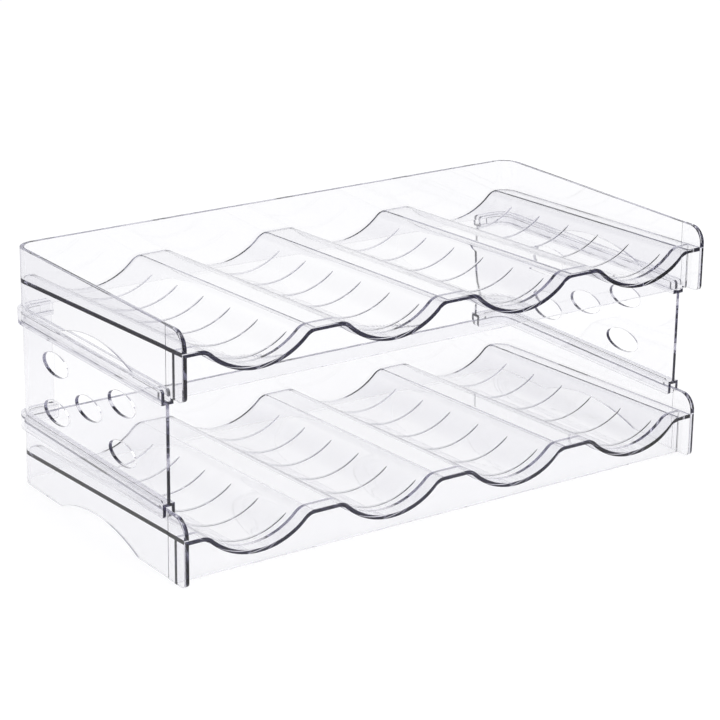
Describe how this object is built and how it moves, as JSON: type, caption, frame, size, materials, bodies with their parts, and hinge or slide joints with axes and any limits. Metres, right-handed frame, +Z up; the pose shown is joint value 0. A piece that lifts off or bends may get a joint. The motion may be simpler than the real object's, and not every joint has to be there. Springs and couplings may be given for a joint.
{
  "type": "fridge bottle rack",
  "caption": "Clear stacked rack that holds drink bottles lying down in wavy cradle trays, joined by slotted side panels with oval openings",
  "frame": {"origin": "middle of the rack's base, on the surface it stands on", "axes": "+X to the right along the width seen from the front, +Y to the rear wall, +Z up; the open front of the trays faces -Y"},
  "size_m": [0.3546, 0.1874, 0.141],
  "materials": {
    "clear_tray": "clear, polished",
    "clear_panel": "clear, polished"
  },
  "bodies": {
    "root": {"lower_tray": "clear_tray", "upper_tray": "clear_tray", "left_side_panel": "clear_panel", "right_side_panel": "clear_panel"}
  },
  "joints": []
}
